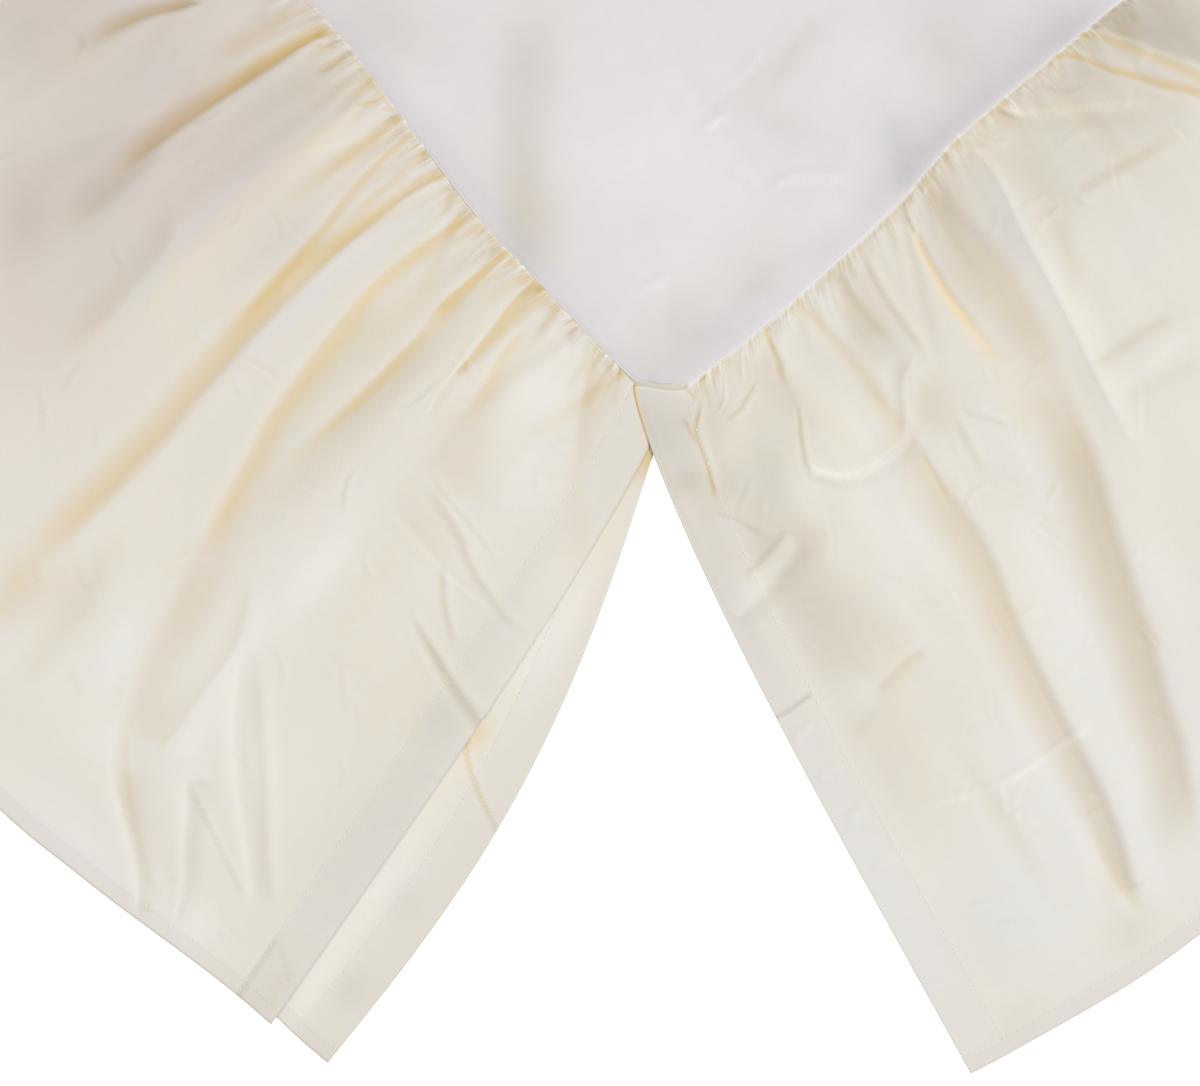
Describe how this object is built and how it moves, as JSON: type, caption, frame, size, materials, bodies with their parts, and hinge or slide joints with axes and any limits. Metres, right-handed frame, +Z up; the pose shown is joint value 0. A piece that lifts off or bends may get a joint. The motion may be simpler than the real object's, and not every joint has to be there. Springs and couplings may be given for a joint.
{
  "type": "bed skirt",
  "caption": "Gathered bed skirt laid out flat: a plain deck panel with three hemmed drops, split at the foot corners over narrow underlays.",
  "frame": {"origin": "middle of the laid-out skirt's footprint, on the surface that it lies on", "axes": "+Z up off the surface, +Y along the bed's length towards the head, +X across the bed; the pictured corner is the one at -X, -Y"},
  "size_m": [1.709, 2.334, 0.0163],
  "materials": {
    "deck_cloth": "smooth plain-woven white cloth, matt",
    "drop_cloth": "smooth fine ivory cotton, softly glossy, warmer in its folds"
  },
  "bodies": {
    "root": {"deck_panel": "deck_cloth", "side_drop_left": "drop_cloth", "side_drop_right": "drop_cloth", "foot_drop": "drop_cloth", "corner_underlay_left": "drop_cloth", "corner_underlay_right": "drop_cloth"}
  },
  "joints": []
}
